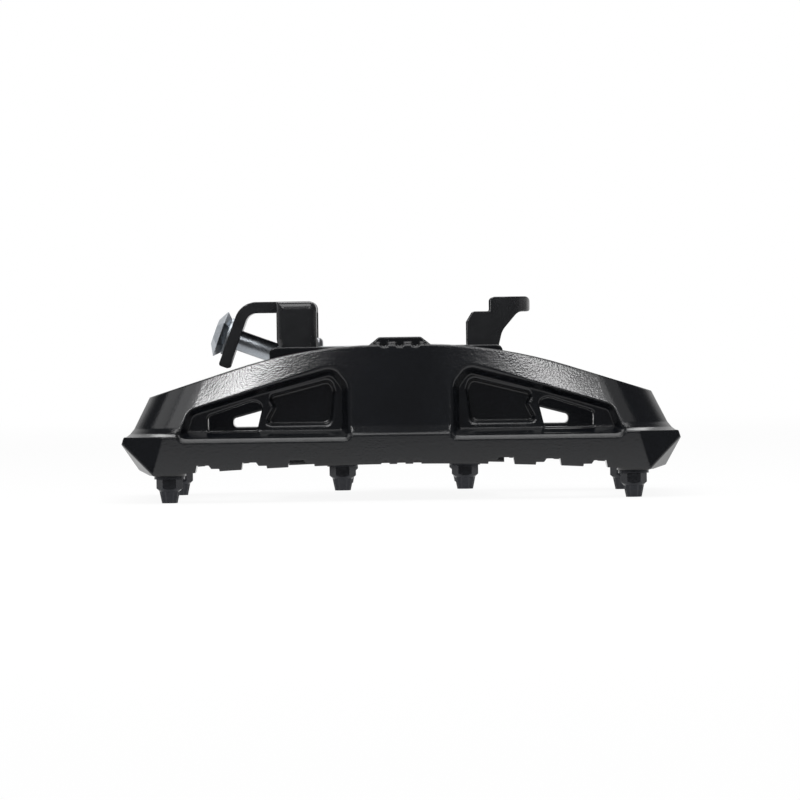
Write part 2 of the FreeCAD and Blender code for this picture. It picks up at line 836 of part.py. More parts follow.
def front_claw():
    """Fixed claw: a bent bow that rises from two ears on a screwed base."""
    side = [(front_rear_x, front_base_under, 0), (front_rear_x, front_lug_z, 0),
            (front_lug_x, front_step_z, front_lug_round), (front_neck_x, front_step_z, front_notch_round),
            (front_neck_x, front_top_z, front_top_round), (front_bow_x, front_top_z, front_nose_round),
            (front_bow_x, front_bar_under, front_bar_edge), (front_bar_x, front_bar_under, front_bar_blend),
            (front_arm_x, front_arm_z, front_arm_blend), (front_base_front, front_base_under, 0)]
    low = y_mid - front_half
    high = y_mid + front_half
    view = side_prism(side, low - past, high + past)
    rear = front_rear_x - past
    outside = plan_prism([(rear, low, 0), (front_bow_x, low, front_bow_radius),
                          (front_bow_x, high, front_bow_radius), (rear, high, 0)],
                         front_base_under, front_top_z + past)
    inner_x = front_bow_x - claw_thick
    inner_low = low + claw_thick
    inner_high = high - claw_thick
    inner_radius = front_bow_radius - claw_thick
    hollow = plan_prism([(rear - past, inner_low, 0), (inner_x, inner_low, inner_radius),
                         (inner_x, inner_high, inner_radius), (rear - past, inner_high, 0)],
                        front_base_under - past, front_top_z + 2 * past)
    bow = outside.cut(hollow).common(view)
    base = plan_prism([(front_base_rear, low, front_base_corner), (front_base_front, low, front_base_edge),
                       (front_base_front, high, front_base_edge), (front_base_rear, high, front_base_corner)],
                      front_base_under, block_top)
    holes = [screw_hole(m4_radius + press_gap, m4_head_radius + press_gap, front_screw_x,
                        y_mid + s * front_screw_y, block_top, m4_length) for s in (-1, 1)]
    return bow.fuse(base).cut(holes).removeSplitter()


def front_claw_screws():
    return Part.makeCompound([countersunk_screw(m4_radius, m4_head_radius, front_screw_x,
                                                y_mid + s * front_screw_y, block_top, m4_length)
                              for s in (-1, 1)])


def cleat_plate():
    """Landing plate that also holds the fixed legs of both springs."""
    under = plate_top - plate_thick
    low = y_mid - plate_half
    high = y_mid + plate_half
    places = [(plate_rear, low), (plate_front, low), (plate_front, high), (plate_rear, high)]
    plate = plan_prism([(x, y, plate_corner) for x, y in places], under, plate_top)
    holes = []
    for s in (-1, 1):
        leg = vec(pivot_x + coil_radius, y_mid + s * coil_inner_y, under - past)
        holes.append(screw_hole(m3_radius + press_gap, m3_head_radius + press_gap, plate_screw_x,
                                y_mid + s * plate_screw_y, plate_top, m3_length))
        holes.append(Part.makeCylinder(wire_radius + seat_gap, plate_thick + 2 * past, leg))
    return plate.cut(holes)


def cleat_plate_screws():
    return Part.makeCompound([countersunk_screw(m3_radius, m3_head_radius, plate_screw_x,
                                                y_mid + s * plate_screw_y, plate_top, m3_length)
                              for s in (-1, 1)])


lean = math.radians(flange_lean)
bolt_out = vec(-math.cos(lean), 0, math.sin(lean))
flange_up = vec(math.sin(lean), 0, math.cos(lean))
head_centre = vec(bolt_head_x, y_mid, bolt_head_z)
head_under = head_centre - bolt_out * (head_thick / 2)
washer_outer = head_under - bolt_out * run_gap
flange_face = washer_outer - bolt_out * bolt_washer_thick
pivot_axis_point = vec(pivot_x, y_mid, pivot_z)


def runs_along(edge, z, y):
    """Whether both ends of an edge lie at a height z and a place y."""
    ends = (edge.Vertexes[0], edge.Vertexes[-1])
    return all(abs(end.Z - z) < same_place and abs(end.Y - y) < same_place for end in ends)


def rear_claw():
    """Folded claw: top plate with a notched lip, two pivot ears and the tension flange."""
    plate_under = claw_top - sheet
    top_rise = (claw_top - flange_face.z) / flange_up.z
    outer_corner = flange_face + flange_up * top_rise
    inner_face = flange_face - bolt_out * sheet
    inner_corner = inner_face + flange_up * ((plate_under - inner_face.z) / flange_up.z)
    outer_foot = flange_face - flange_up * flange_end_drop
    inner_foot = inner_face - flange_up * flange_end_drop
    hook_root = ear_rear + past
    hook = side_prism([(hook_root, claw_top, 0), (outer_corner.x, claw_top, bend_radius),
                       (outer_foot.x, outer_foot.z, flange_edge), (inner_foot.x, inner_foot.z, flange_edge),
                       (inner_corner.x, plate_under, bend_radius - sheet), (hook_root, plate_under, 0)],
                      y_mid - hook_half, y_mid + hook_half)
    low = y_mid - ear_half
    high = y_mid + ear_half
    lid = side_prism([(ear_rear, plate_under, 0), (ear_front, plate_under, 0),
                      (ear_front, claw_top, lip_round), (ear_rear, claw_top, 0)], low, high)
    boss_rear = pivot_x - boss_radius
    boss_front = pivot_x + boss_radius
    boss_foot = pivot_z - boss_radius
    ear_side = [(ear_rear, claw_top, 0), (ear_rear, ear_rear_foot, ear_foot_round),
                (boss_rear, ear_waist, ear_waist_round), (boss_rear, boss_foot, boss_radius),
                (boss_front, boss_foot, boss_radius), (boss_front, ear_waist, ear_foot_round),
                (ear_front, ear_front_foot, ear_foot_round), (ear_front, claw_top, lip_round)]
    ear = side_prism(ear_side, low, low + sheet)
    claw = lid.fuse([ear, mirrored_y(ear), hook])
    fold_edges = [e for e in claw.Edges if runs_along(e, claw_top, low) or runs_along(e, claw_top, high)]
    claw = claw.makeFillet(ear_fold_round, fold_edges)
    notch_x = ear_front - lip_notch_depth + lip_notch_radius
    notch_foot = plate_under - past
    notch = Part.makeCylinder(lip_notch_radius, sheet + 2 * past, vec(notch_x, y_mid, notch_foot))
    mouth = block(notch_x - lip_notch_radius, notch_x, y_mid - lip_notch_half, y_mid + lip_notch_half,
                  notch_foot, claw_top + past)
    across = vec(0, ear_half + past, 0)
    bore = rod(pivot_radius + run_gap, pivot_axis_point - across, pivot_axis_point + across)
    bolt_hole = rod(bolt_radius + run_gap, flange_face + bolt_out * past, inner_face - bolt_out * past)
    return claw.cut([notch.common(mouth), bore, bolt_hole]).removeSplitter()


def pivot_pin():
    reach = block_half + pin_overhang
    groove = block_half + seat_gap
    profile = [(reach, 0), (reach, pivot_radius), (groove + clip_thick + seat_gap, pivot_radius),
               (groove + clip_thick + seat_gap, clip_groove_radius), (groove, clip_groove_radius),
               (groove, pivot_radius)]
    full = [(y_mid - y, r) for y, r in profile] + [(y_mid + y, r) for y, r in reversed(profile)]
    return turned(full, pivot_x, pivot_z)


def pivot_clips():
    """Open retaining rings in the grooves of the pivot pin."""
    clips = []
    start = y_mid - block_half - seat_gap - clip_thick
    clip = ring(clip_groove_radius + press_gap, clip_radius, start, start + clip_thick, pivot_x, pivot_z)
    slot = block(pivot_x - clip_slot / 2, pivot_x + clip_slot / 2, start - past, start + clip_thick + past,
                 pivot_z - clip_radius - past, pivot_z)
    clip = clip.cut(slot)
    return Part.makeCompound([clip, mirrored_y(clip)])


def torsion_spring(side):
    """Coil round the pivot with a fixed front leg and a rear leg behind the cross nut."""
    span = coil_outer_y - coil_inner_y
    helix = Part.makeHelix(span / coil_turns, span, coil_radius)
    front = vec(pivot_x + coil_radius, y_mid - coil_inner_y, pivot_z)
    rear = vec(pivot_x - coil_radius, y_mid - coil_outer_y, pivot_z)
    helix.rotate(vec(0, 0, 0), vec(1, 0, 0), 90)
    helix.translate(vec(pivot_x, y_mid - coil_inner_y, pivot_z))
    circle = Part.Wire([Part.makeCircle(wire_radius, front, vec(0, 0, 1))])
    coil = Part.Wire(helix).makePipeShell([circle], True, True)
    dome = vec(front.x, front.y, fixed_leg_top - wire_radius)
    legs = [rod(wire_radius, front, dome), Part.makeSphere(wire_radius, dome),
            Part.makeCylinder(wire_radius, moving_leg_top - pivot_z, rear)]
    spring = coil.fuse(legs)
    return spring if side < 0 else mirrored_y(spring)


def tension_bolt():
    """Bolt with a double-bevelled hexagonal head."""
    sections = ((head_under_radius, 0), (head_radius, head_widest), (head_face_radius, head_thick))
    under, widest, face = [hexagon(radius * math.sqrt(3), z) for radius, z in sections]
    lower = Part.makeLoft([under, widest], True, True)
    upper = Part.makeLoft([widest, face], True, True)
    shank = Part.makeCylinder(bolt_radius, bolt_length, vec(0, 0, 0), vec(0, 0, -1))
    bolt = lower.fuse([upper, shank])
    return placed(bolt, head_under, bolt_out)


def tension_bolt_washer():
    disc = Part.makeCylinder(bolt_washer_radius, bolt_washer_thick)
    disc = disc.cut(Part.makeCylinder(bolt_radius + run_gap, bolt_washer_thick))
    return placed(disc, flange_face, bolt_out)


def tension_nut():
    """Cross nut on the bolt; its two arms push on the rear spring legs."""
    along = (nut_x - bolt_head_x) / -bolt_out.x
    centre = head_centre - bolt_out * along
    high = nut_half_height
    half = nut_half_length
    body = side_prism([(-high, half, 0), (high, half, 0), (high, -half, 0), (nut_relief - high, -half, 0),
                       (-high, nut_relief - half, 0)], -nut_half_width, nut_half_width)
    arms = block(arm_low, high, -arm_reach, arm_reach, -half, half)
    hole = Part.makeCylinder(bolt_radius + run_gap, 2 * half + 2 * past, vec(0, 0, -half - past))
    nut = body.fuse(arms).cut(hole).removeSplitter()
    nut.Placement = FreeCAD.Placement(centre, FreeCAD.Rotation(flange_up, vec(0, 1, 0), bolt_out, "ZXY"))
    return nut


nodes = {
    "pedal_body": pedal_body(),
    "traction_pins": traction_pins(),
    "pin_washers": pin_washers(),
    "spindle": spindle(),
    "lock_sleeve": lock_sleeve(),
    "bush": bush(),
    "dust_seal": dust_seal(),
    "spacer_tube": spacer_tube(),
    "bearing_inner_ring": bearing_inner_ring(),
    "bearing_outer_ring": bearing_outer_ring(),
    "bearing_balls": bearing_balls(),
    "bearing_cage": bearing_cage(),
    "bearing_shields": bearing_shields(),
    "spindle_washer": spindle_washer(),
    "spindle_nut": spindle_nut(),
    "front_claw": front_claw(),
    "front_claw_screws": front_claw_screws(),
    "cleat_plate": cleat_plate(),
    "cleat_plate_screws": cleat_plate_screws(),
    "rear_claw": rear_claw(),
    "pivot_pin": pivot_pin(),
    "pivot_clips": pivot_clips(),
    "spring_near": torsion_spring(-1),
    "spring_far": torsion_spring(1),
    "tension_bolt": tension_bolt(),
    "tension_bolt_washer": tension_bolt_washer(),
    "tension_nut": tension_nut(),
}

for name, shape in nodes.items():
    shape.exportStep("parts/" + name + ".step")
    print(name, shape.isValid(), len(shape.Solids), round(shape.Volume, 1), shape.BoundBox)
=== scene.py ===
# %% [markdown]
# # A clipless platform pedal
# The CAD model gives every piece in its place, in metres. This lesson dresses those pieces:
# it gives each one the finish that the real part has, cuts the thread of the axle, winds the springs,
# and then sets up a small studio with a long lens.

# %% Load the imported model
import math

import bmesh
import bpy
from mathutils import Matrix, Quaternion, Vector


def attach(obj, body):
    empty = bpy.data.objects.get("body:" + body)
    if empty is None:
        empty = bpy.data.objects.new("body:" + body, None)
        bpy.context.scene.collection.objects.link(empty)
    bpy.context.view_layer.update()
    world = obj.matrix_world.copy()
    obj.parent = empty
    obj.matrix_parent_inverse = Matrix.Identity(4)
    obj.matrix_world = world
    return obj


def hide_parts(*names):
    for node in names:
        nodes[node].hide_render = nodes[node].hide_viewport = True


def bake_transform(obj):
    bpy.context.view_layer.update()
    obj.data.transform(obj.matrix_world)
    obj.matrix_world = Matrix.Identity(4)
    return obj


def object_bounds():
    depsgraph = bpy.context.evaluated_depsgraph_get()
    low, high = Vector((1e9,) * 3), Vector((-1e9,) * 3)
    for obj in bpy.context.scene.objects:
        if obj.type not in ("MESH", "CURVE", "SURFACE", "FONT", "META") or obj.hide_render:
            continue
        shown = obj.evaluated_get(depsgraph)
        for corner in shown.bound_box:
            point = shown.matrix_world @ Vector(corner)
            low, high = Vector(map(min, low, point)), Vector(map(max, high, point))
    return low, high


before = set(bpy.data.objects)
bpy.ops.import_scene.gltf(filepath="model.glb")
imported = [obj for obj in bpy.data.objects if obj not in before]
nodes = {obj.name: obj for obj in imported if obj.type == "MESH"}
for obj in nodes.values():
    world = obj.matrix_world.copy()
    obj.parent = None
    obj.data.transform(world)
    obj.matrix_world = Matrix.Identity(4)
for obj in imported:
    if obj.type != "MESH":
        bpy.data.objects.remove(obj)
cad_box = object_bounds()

MM = 0.001
print("pieces:", len(nodes), "box in mm:", [[round(c / MM, 1) for c in corner] for corner in cad_box])

# %% [markdown]
# ## Two helpers for materials
# Colours are written as sRGB hex values, the way a colour picker shows them. Blender's sockets want
# linear light, so one function converts them. A second one adds a node, sets it up and links it,
# which keeps every material below to a short list of nodes.

# %% Colour and node helpers
def colour(hex_value):
    parts = [int(hex_value[i:i + 2], 16) / 255 for i in (1, 3, 5)]
    linear = [p / 12.92 if p <= 0.04045 else ((p + 0.055) / 1.055) ** 2.4 for p in parts]
    return (*linear, 1.0)


def add_node(tree, kind, inputs=None, **settings):
    node = tree.nodes.new(kind)
    for name, value in settings.items():
        setattr(node, name, value)
    for name, value in (inputs or {}).items():
        if isinstance(value, bpy.types.NodeSocket):
            tree.links.new(value, node.inputs[name])
        else:
            node.inputs[name].default_value = value
    return node


def new_material(name):
    material = bpy.data.materials.new(name)
    material.use_nodes = True
    material.node_tree.nodes.clear()
    return material, material.node_tree


# A Mix node has float, vector and colour sockets of the same names, so its colour ones go by number.
COLOUR_A, COLOUR_B, MIXED_COLOUR = 6, 7, 2


def per_metre(size_mm):
    return 1.0 / (size_mm * MM)


print("mid grey in linear light:", round(colour("#808080")[0], 3))

# %% [markdown]
# ## Powder coat on the die-cast body
# The platform is an aluminium casting with a black powder coat. Powder flows out in the oven into a
# shiny skin with a fine orange peel, so a highlight breaks up into specks at its edge. The grains are
# about a third of a millimetre apart. A second, wider noise stands for the slow change in film
# thickness. Powder also rounds every edge that it covers. A Bevel node turns the normals near an edge by
# the size of that rounding, so the edges catch light although the casting's mesh stays as it is.

# %% Powder coat
PEEL_MM = 0.32
PEEL_HEIGHT_MM = 0.019
FILM_MM = 14.0
COATED_EDGE_MM = 0.6
powder_coat, tree = new_material("powder_coat_on_cast_aluminium")
place = add_node(tree, "ShaderNodeTexCoord").outputs["Object"]
peel = add_node(tree, "ShaderNodeTexNoise", {"Vector": place, "Scale": per_metre(PEEL_MM), "Detail": 1.0})
film = add_node(tree, "ShaderNodeTexNoise", {"Vector": place, "Scale": per_metre(FILM_MM), "Detail": 3.0})
rough = add_node(tree, "ShaderNodeMapRange", {
    "Value": film.outputs["Fac"], "To Min": 0.11, "To Max": 0.16})
tone = add_node(tree, "ShaderNodeMix", {
    0: film.outputs["Fac"], COLOUR_A: colour("#0b0c0e"), COLOUR_B: colour("#121418")}, data_type="RGBA")
edge = add_node(tree, "ShaderNodeBevel", {"Radius": COATED_EDGE_MM * MM}, samples=8)
bump = add_node(tree, "ShaderNodeBump", {
    "Height": peel.outputs["Fac"], "Strength": 1.0, "Distance": PEEL_HEIGHT_MM * MM,
    "Normal": edge.outputs["Normal"]})
shader = add_node(tree, "ShaderNodeBsdfPrincipled", {
    "Base Color": tone.outputs[MIXED_COLOUR], "Roughness": rough.outputs["Result"],
    "Normal": bump.outputs["Normal"], "IOR": 1.5})
add_node(tree, "ShaderNodeOutputMaterial", {"Surface": shader.outputs["BSDF"]})
print("made", powder_coat.name)

# %% [markdown]
# ## Dip coat on the steel claws
# The two claws are bent steel with a thin black dip coat. The coat lies flat and shiny, and the sheet
# below it still shows as a slow ripple a few millimetres long. A fine grain keeps the gloss from
# looking like glass.

# %% Dip coat
RIPPLE_MM = 3.5
GRAIN_MM = 0.25
RIPPLE_HEIGHT_MM = 0.12
GRAIN_HEIGHT_MM = 0.015
DIPPED_EDGE_MM = 0.35
dip_coat, tree = new_material("black_dip_coat_on_bent_steel")
place = add_node(tree, "ShaderNodeTexCoord").outputs["Object"]
ripple = add_node(tree, "ShaderNodeTexNoise", {
    "Vector": place, "Scale": per_metre(RIPPLE_MM), "Detail": 1.0})
grain = add_node(tree, "ShaderNodeTexNoise", {"Vector": place, "Scale": per_metre(GRAIN_MM), "Detail": 2.0})
rough = add_node(tree, "ShaderNodeMapRange", {
    "Value": grain.outputs["Fac"], "To Min": 0.16, "To Max": 0.26})
tone = add_node(tree, "ShaderNodeMix", {
    0: ripple.outputs["Fac"], COLOUR_A: colour("#191a1c"), COLOUR_B: colour("#27282a")}, data_type="RGBA")
edge = add_node(tree, "ShaderNodeBevel", {"Radius": DIPPED_EDGE_MM * MM}, samples=8)
wave = add_node(tree, "ShaderNodeBump", {
    "Height": ripple.outputs["Fac"], "Strength": 0.5, "Distance": RIPPLE_HEIGHT_MM * MM,
    "Normal": edge.outputs["Normal"]})
bump = add_node(tree, "ShaderNodeBump", {
    "Height": grain.outputs["Fac"], "Strength": 0.5, "Distance": GRAIN_HEIGHT_MM * MM,
    "Normal": wave.outputs["Normal"]})
shader = add_node(tree, "ShaderNodeBsdfPrincipled", {
    "Base Color": tone.outputs[MIXED_COLOUR], "Roughness": rough.outputs["Result"],
    "Normal": bump.outputs["Normal"], "IOR": 1.52})
add_node(tree, "ShaderNodeOutputMaterial", {"Surface": shader.outputs["BSDF"]})
print("made", dip_coat.name)

# %% [markdown]
# ## Bare and treated metals
# The small steel pieces differ in colour, polish and the direction of their tool marks. Turned pieces
# have rings round the Y axis, stamped plates a straight grain, forged heads an even one. One function
# draws all of them: a noise, squeezed along the marks, drives roughness, tone and a little bump. Marks
# finer than 0.1 mm would not show at this distance, so they are drawn somewhat coarser.

# %% Metal finishes
MACHINED_EDGE_MM = 0.2
ROUGHNESS_SPREAD = 0.08


def metal_finish(name, dark, light, roughness, marks_mm, bump_height_mm, metallic=1.0):
    material, tree = new_material(name)
    place = add_node(tree, "ShaderNodeTexCoord").outputs["Object"]
    squeeze = add_node(tree, "ShaderNodeMapping", {
        "Vector": place, "Scale": [per_metre(size) for size in marks_mm]})
    marks = add_node(tree, "ShaderNodeTexNoise", {
        "Vector": squeeze.outputs["Vector"], "Scale": 1.0, "Detail": 3.0})
    rough = add_node(tree, "ShaderNodeMapRange", {
        "Value": marks.outputs["Fac"], "To Min": roughness - ROUGHNESS_SPREAD,
        "To Max": roughness + ROUGHNESS_SPREAD})
    tone = add_node(tree, "ShaderNodeMix", {
        0: marks.outputs["Fac"], COLOUR_A: colour(dark), COLOUR_B: colour(light)}, data_type="RGBA")
    edge = add_node(tree, "ShaderNodeBevel", {"Radius": MACHINED_EDGE_MM * MM}, samples=4)
    bump = add_node(tree, "ShaderNodeBump", {
        "Height": marks.outputs["Fac"], "Strength": 0.3, "Distance": bump_height_mm * MM,
        "Normal": edge.outputs["Normal"]})
    shader = add_node(tree, "ShaderNodeBsdfPrincipled", {
        "Base Color": tone.outputs[MIXED_COLOUR], "Roughness": rough.outputs["Result"],
        "Normal": bump.outputs["Normal"], "Metallic": metallic})
    add_node(tree, "ShaderNodeOutputMaterial", {"Surface": shader.outputs["BSDF"]})
    return material


# Black oxide is a thin dull skin on steel: dark, with a soft metal sheen.
black_oxide = metal_finish("black_oxide_on_steel", "#2a2b2e", "#3b3c3f", 0.20, (0.5, 0.5, 0.5), 0.02)
# Zinc on a forged bolt head: blue-grey, evenly blasted.
zinc_plate = metal_finish("zinc_plate_on_forged_steel", "#8a9097", "#c6cbd0", 0.36, (0.4, 0.4, 0.4), 0.04)
# A turned and ground axle: rings along Y, bright between them.
turned_steel = metal_finish("turned_alloy_steel", "#7d7f83", "#a2a4a8", 0.30, (9.0, 0.25, 9.0), 0.006)
# Stamped stainless sheet: grain along X from rolling.
stamped_steel = metal_finish("stamped_stainless_sheet", "#8f9194", "#b4b6b8", 0.33, (8.0, 0.3, 8.0), 0.006)
# Spring wire is drawn through a die, so its marks run along the wire.
drawn_wire = metal_finish("drawn_spring_wire", "#8a8c90", "#b0b2b5", 0.30, (0.6, 0.6, 3.0), 0.005)
# Anodising keeps the grain of the turned sleeve under a black dye.
anodised = metal_finish("black_anodised_aluminium", "#1a1b1e", "#25272b", 0.38, (6.0, 0.3, 6.0), 0.006)
# Bearing rings and balls are lapped, nearly mirror smooth.
bearing_steel = metal_finish("lapped_bearing_steel", "#a9abae", "#bfc1c4", 0.16, (1.2, 1.2, 1.2), 0.002)
print("finishes so far:", [material.name for material in bpy.data.materials])

# %% [markdown]
# ## Rubber and polymer
# The dust seal is nitrile rubber and the plain bush a filled bearing polymer. Both are dull, with a
# fine moulded grain, and have no metal in them.

# %% Rubber and polymer
def moulded_finish(name, dark, light, roughness, grain_mm):
    return metal_finish(name, dark, light, roughness, (grain_mm,) * 3, 0.02, metallic=0.0)


nitrile_rubber = moulded_finish("moulded_nitrile_rubber", "#0e0e0f", "#171718", 0.62, 0.4)
bush_polymer = moulded_finish("filled_bearing_polymer", "#26282a", "#34373a", 0.50, 0.5)
print("made", nitrile_rubber.name, "and", bush_polymer.name)

# %% [markdown]
# ## Dressing the pieces
# Each CAD node gets a finish here and keeps its own mesh. The axle and the two springs are replaced
# further on, by pieces with the same finish.

# %% Finishes by piece
FINISHES = {
    powder_coat: ("pedal_body",),
    dip_coat: ("front_claw", "rear_claw"),
    black_oxide: ("traction_pins", "pin_washers", "front_claw_screws", "cleat_plate_screws", "pivot_clips"),
    zinc_plate: ("tension_bolt", "tension_bolt_washer", "tension_nut"),
    turned_steel: ("spindle", "spindle_washer", "spindle_nut", "pivot_pin"),
    stamped_steel: ("cleat_plate",),
    drawn_wire: ("spring_near", "spring_far"),
    anodised: ("lock_sleeve", "spacer_tube"),
    bearing_steel: ("bearing_inner_ring", "bearing_outer_ring", "bearing_balls", "bearing_cage",
                    "bearing_shields"),
    nitrile_rubber: ("dust_seal",),
    bush_polymer: ("bush",),
}
for material, names in FINISHES.items():
    for name in names:
        slots = nodes[name].data.materials
        slots.clear()
        slots.append(material)
print("dressed:", sum(len(names) for names in FINISHES.values()), "of", len(nodes), "pieces")

# %% [markdown]
# ## Two helpers for meshes
# The axle and the springs are both made of rings of points. One function puts a strip of faces between each
# ring and the next, and the other turns the finished net into an object with a finish.

# %% Mesh helpers
def join_rings(net, rings):
    count = len(rings[0])
    for low, high in zip(rings, rings[1:]):
        for j in range(count):
            k = (j + 1) % count
            net.faces.new((low[j], low[k], high[k], high[j]))


def finished_piece(name, net, material, sharp_degrees):
    """Object made from a net, smooth but for the edges that turn by more than the given angle."""
    bmesh.ops.recalc_face_normals(net, faces=net.faces)
    for face in net.faces:
        face.smooth = True
    gaps = sum(1 for edge in net.edges if not edge.is_manifold)
    mesh = bpy.data.meshes.new(name)
    net.to_mesh(mesh)
    net.free()
    mesh.set_sharp_from_angle(angle=math.radians(sharp_degrees))
    mesh.materials.append(material)
    piece = bpy.data.objects.new(name, mesh)
    bpy.context.scene.collection.objects.link(piece)
    print(name, "has", len(mesh.polygons), "faces and", gaps, "open edges")
    return piece


# %% [markdown]
# ## The thread of the axle
# In the solids the thread is a plain cylinder at its largest diameter. A real one is a groove with a
# 60 degree profile that winds round the axle, 20 turns to the inch. A texture could only pretend that, and
# the groove shows at the outline, so it is cut in the mesh: the cylinder's wall is taken out of a welded
# copy of the axle, a net of points that follows the groove goes in its place, and its two ends are bridged
# to the edges that are left open. The copy stands for the CAD node.

# %% Threaded axle
THREAD_RADIUS_MM = 7.144
THREAD_PITCH_MM = 1.27
THREAD_DEPTH_MM = 0.61 * THREAD_PITCH_MM
THREAD_END_MM = 12.5
# Shares of the pitch that stay flat: an eighth at the crest, a quarter at the root.
FLAT_CREST = 0.125
FLAT_ROOT = 0.25
RUN_OUT_MM = 0.9
BRIDGE_MM = 0.04
NEAR_MM = 0.01
AROUND = 96
ALONG = 110


def groove_depth(turn, along):
    """Depth below the crest at an angle round the axle and a place along it."""
    phase = (along / THREAD_PITCH_MM - turn / math.tau) % 1.0
    from_root = abs(phase - 0.5) * 2
    flank = (1 - FLAT_CREST - from_root) / (1 - FLAT_CREST - FLAT_ROOT)
    run_out = min(1.0, along / RUN_OUT_MM, (THREAD_END_MM - along) / RUN_OUT_MM)
    return THREAD_DEPTH_MM * max(0.0, min(1.0, flank)) * max(0.0, run_out)


def on_cylinder(vertex):
    radius = math.hypot(vertex.co.x, vertex.co.z) / MM
    along = vertex.co.y / MM
    return abs(radius - THREAD_RADIUS_MM) < NEAR_MM and -NEAR_MM < along < THREAD_END_MM + NEAR_MM


net = bmesh.new()
net.from_mesh(nodes["spindle"].data)
bmesh.ops.remove_doubles(net, verts=net.verts, dist=0.001 * MM)
upright = [face for face in net.faces if abs(face.normal.y) < 0.5]
wall = [face for face in upright if all(on_cylinder(v) for v in face.verts)]
bmesh.ops.delete(net, geom=wall, context="FACES")
open_edges = [edge for edge in net.edges if edge.is_boundary]
rings = []
for i in range(ALONG + 1):
    along = BRIDGE_MM + (THREAD_END_MM - 2 * BRIDGE_MM) * i / ALONG
    ring = []
    for j in range(AROUND):
        turn = math.tau * j / AROUND
        radius = THREAD_RADIUS_MM - groove_depth(turn, along)
        point = Vector((radius * math.sin(turn), along, radius * math.cos(turn)))
        ring.append(net.verts.new(point * MM))
    rings.append(ring)
join_rings(net, rings)
for ring, end_mm in ((rings[0], 0.0), (rings[-1], THREAD_END_MM)):
    loop = [edge for edge in open_edges if abs(edge.verts[0].co.y - end_mm * MM) < NEAR_MM * MM]
    rim = [net.edges.get((ring[j], ring[(j + 1) % AROUND])) for j in range(AROUND)]
    bmesh.ops.bridge_loops(net, edges=loop + rim)
taken_out = len(wall)
threaded_axle = finished_piece("threaded_axle", net, turned_steel, 24)
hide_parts("spindle")
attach(threaded_axle, "spindle")
print("thread:", taken_out, "faces taken out,", ALONG * AROUND, "put in")

# %% [markdown]
# ## Torsion springs
# A spring twists when the claw opens. The wire is swept here in one line: down the fixed leg,
# round the coil and up the moving leg. The coil turns from the pedal to the claw along its own
# axis. The moving leg is a second piece that starts at the coil's last ring.

# %% Torsion springs
PIVOT_X_MM, MIDDLE_Y_MM, PIVOT_Z_MM = -19.5, -57.0, 3.0
COIL_RADIUS_MM = 3.5
COIL_TURNS = 2.5
COIL_FROM_MM, COIL_TO_MM = 4.1, 8.8
WIRE_RADIUS_MM = 0.9
FIXED_LEG_MM, MOVING_LEG_MM = 8.8, 8.4
CUT_CHAMFER_MM = 0.2
WIRE_SIDES = 20
FIXED_LEG_STEPS, COIL_STEPS, MOVING_LEG_STEPS = 6, 70, 16
DOME_DEGREES = (75, 55, 35, 18)


def pivot_point(side, rise, offset):
    """Point in mm above the pivot, at an offset from the pedal's middle."""
    return Vector((PIVOT_X_MM, MIDDLE_Y_MM + side * offset, PIVOT_Z_MM + rise))


def wire_ring(tube, side, turn, rise, offset, radius=WIRE_RADIUS_MM):
    """Ring of wire at an angle round the coil, raised above it, at an offset from the pedal's middle."""
    out = Vector((math.cos(turn), 0.0, -math.sin(turn)))
    along = Vector((0.0, 1.0, 0.0))
    middle = pivot_point(side, rise, offset) + COIL_RADIUS_MM * out
    ring = []
    for j in range(WIRE_SIDES):
        angle = math.tau * j / WIRE_SIDES
        ring.append(tube.verts.new((middle + radius * (math.cos(angle) * out + math.sin(angle) * along)) * MM))
    return ring


def wire_piece(name, node, side, stations):
    """Closed tube through the stations, which stands for a spring's CAD node."""
    tube = bmesh.new()
    rings = [wire_ring(tube, side, *station) for station in stations]
    join_rings(tube, rings)
    tube.faces.new(rings[0])
    tube.faces.new(rings[-1])
    piece = finished_piece(name, tube, drawn_wire, 40)
    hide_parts(node)
    return piece


# A station is an angle round the coil, a rise above it, an offset and, where it isn't full, a radius.
LAST_TURN = math.tau * COIL_TURNS
coil_stations = []
for degrees in DOME_DEGREES:
    bow = math.radians(degrees)
    coil_stations.append((0.0, FIXED_LEG_MM + WIRE_RADIUS_MM * math.sin(bow), COIL_FROM_MM,
                          WIRE_RADIUS_MM * math.cos(bow)))
for i in range(FIXED_LEG_STEPS):
    coil_stations.append((0.0, FIXED_LEG_MM * (1 - i / FIXED_LEG_STEPS), COIL_FROM_MM))
for i in range(COIL_STEPS + 1):
    share = i / COIL_STEPS
    coil_stations.append((LAST_TURN * share, 0.0, COIL_FROM_MM + (COIL_TO_MM - COIL_FROM_MM) * share))
leg_stations = []
for i in range(MOVING_LEG_STEPS + 1):
    leg_stations.append((LAST_TURN, (MOVING_LEG_MM - CUT_CHAMFER_MM) * i / MOVING_LEG_STEPS, COIL_TO_MM))
leg_stations.append((LAST_TURN, MOVING_LEG_MM, COIL_TO_MM, WIRE_RADIUS_MM - CUT_CHAMFER_MM))

for node, side in (("spring_near", -1), ("spring_far", 1)):
    coil = wire_piece(node + "_coil", node, side, coil_stations)
    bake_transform(coil)
    leg = wire_piece(node + "_leg", node, side, leg_stations)
    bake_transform(leg)

# %% [markdown]
# ## Studio
# The pedal stands on white paper in front of a white backdrop. Both glow for the rays that the camera,
# shiny surfaces and glass send out, so they look white without more light on the pedal. A share of the
# floor stays plain paper and keeps the soft shadow. In front of the pedal, where the camera stands,
# the room is dark, and that is why the upright middle face stays almost black.

